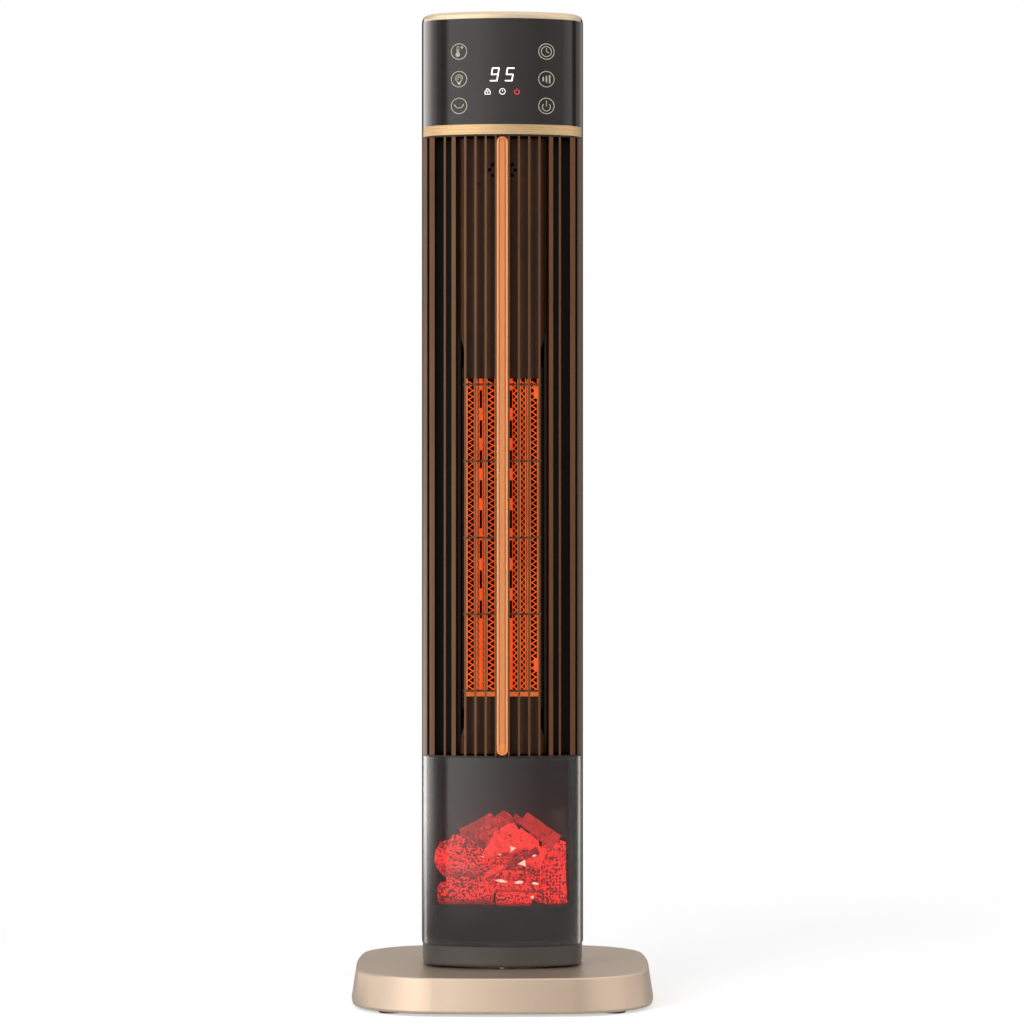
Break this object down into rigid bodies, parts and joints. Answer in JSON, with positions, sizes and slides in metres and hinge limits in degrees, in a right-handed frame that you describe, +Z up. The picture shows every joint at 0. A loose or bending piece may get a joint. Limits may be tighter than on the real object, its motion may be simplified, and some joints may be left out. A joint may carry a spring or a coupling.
{
  "type": "tower space heater",
  "caption": "Slim upright fan heater with a finned front outlet, a glowing ember window, a touch head and a round-cornered base that the tower swings on.",
  "frame": {"origin": "on the floor, on the axis that the tower turns about", "axes": "+Z up along the tower, -Y out of the front outlet, +X to the right seen from the front"},
  "size_m": [0.2272, 0.2344, 0.74],
  "materials": {
    "base_champagne": "satin champagne paint",
    "dark_grey": "gloss dark grey moulding",
    "smoked_window": "clear smoked front",
    "collar_grey": "satin dark grey",
    "black_plastic": "fine-grained black moulding",
    "liner_black": "dark grey liner",
    "bronze_plastic": "dark bronze moulding",
    "gold_trim": "brushed champagne gold",
    "copper_strip": "satin copper paint",
    "steel": "zinc-plated steel",
    "iron_ballast": "bare plate",
    "rubber_black": "soft rubber",
    "white_nylon": "natural acetal",
    "heater_aluminium": "glowing folded aluminium",
    "element_stone": "glowing element strips",
    "brass_terminal": "tinned brass",
    "heat_plastic": "heat-proof moulding",
    "board_green": "solder-masked board",
    "component_black": "moulded components",
    "lamp_red": "red lamp",
    "ember_resin": "translucent red ember moulding",
    "wire_black": "insulated wires",
    "motor_steel": "plated motor case",
    "wheel_plastic": "dark moulded wheel"
  },
  "bodies": {
    "base": {"base_shell": "base_champagne", "base_bottom_plate": "black_plastic", "ballast_plate": "iron_ballast", "rubber_feet": "rubber_black", "base_screws": "steel", "cord_gland": "rubber_black", "tip_switch": "component_black", "pivot_post": "motor_steel", "pivot_screws": "steel", "glide_ring": "white_nylon", "swivel_gear": "white_nylon", "gear_nut": "steel"},
    "tower": {"swing_motor": "motor_steel", "motor_screws": "steel", "swivel_bush": "white_nylon", "lower_collar": "collar_grey", "turret_floor": "black_plastic", "flame_window": "smoked_window", "ember_tray": "liner_black", "led_board": "board_green", "flame_leds": "lamp_red", "flame_box": "liner_black", "ember_logs": "ember_resin", "front_grille": "bronze_plastic", "centre_strip": "copper_strip", "front_baffle": "bronze_plastic", "room_sensor": "component_black", "heater_frame": "heat_plastic", "heater_fins": "heater_aluminium", "heater_bars": "heater_aluminium", "ptc_strips": "element_stone", "terminal_tabs": "brass_terminal", "thermal_cutout": "component_black", "scroll_housing": "heat_plastic", "fan_motor": "motor_steel", "top_bearing": "rubber_black", "rear_housing": "black_plastic", "rear_grille": "black_plastic", "grip_cup": "black_plastic", "rear_screws": "steel", "chassis_rails": "heat_plastic", "rocker_frame": "black_plastic", "trim_band": "gold_trim", "control_fascia": "dark_grey", "control_board": "board_green", "display_module": "component_black", "touch_springs": "steel", "top_rim": "gold_trim", "top_plate": "dark_grey", "main_board": "board_green", "board_parts": "component_black", "buzzer": "component_black", "wire_loom": "wire_black"},
    "tip_plunger": {"tip_plunger": "white_nylon", "tip_spring": "steel"},
    "pinion": {"pinion": "white_nylon", "motor_shaft": "steel"},
    "impeller": {"impeller": "wheel_plastic", "impeller_shaft": "steel"},
    "power_rocker": {"power_rocker": "black_plastic"}
  },
  "joints": [
    {"name": "tower_swing", "type": "hinge", "parent": "base", "child": "tower", "pos_m": [0, 0, 0.03], "axis": [0, 0, 1], "range_deg": [-30, 30]},
    {"name": "pinion_spin", "type": "hinge", "parent": "tower", "child": "pinion", "pos_m": [0, 0.03, 0.038], "axis": [0, 0, 1], "range_deg": [-82.5, 82.5]},
    {"name": "impeller_spin", "type": "hinge", "parent": "tower", "child": "impeller", "pos_m": [-0.004, 0.014, 0.3], "axis": [0, 0, 1], "continuous": true},
    {"name": "rocker_press", "type": "hinge", "parent": "tower", "child": "power_rocker", "pos_m": [0, 0.0574, 0.1049], "axis": [1, 0, 0], "range_deg": [0, 16]},
    {"name": "tip_plunger_slide", "type": "slide", "parent": "base", "child": "tip_plunger", "axis": [0, 0, -1], "range_m": [0, 0.003], "stiffness_N_per_m": 60, "springref_m": 0.006, "deforming": ["tip_spring"]}
  ],
  "couplings": [
    {"joint": "pinion_spin", "follows": "tower_swing", "ratio": 2.75}
  ]
}
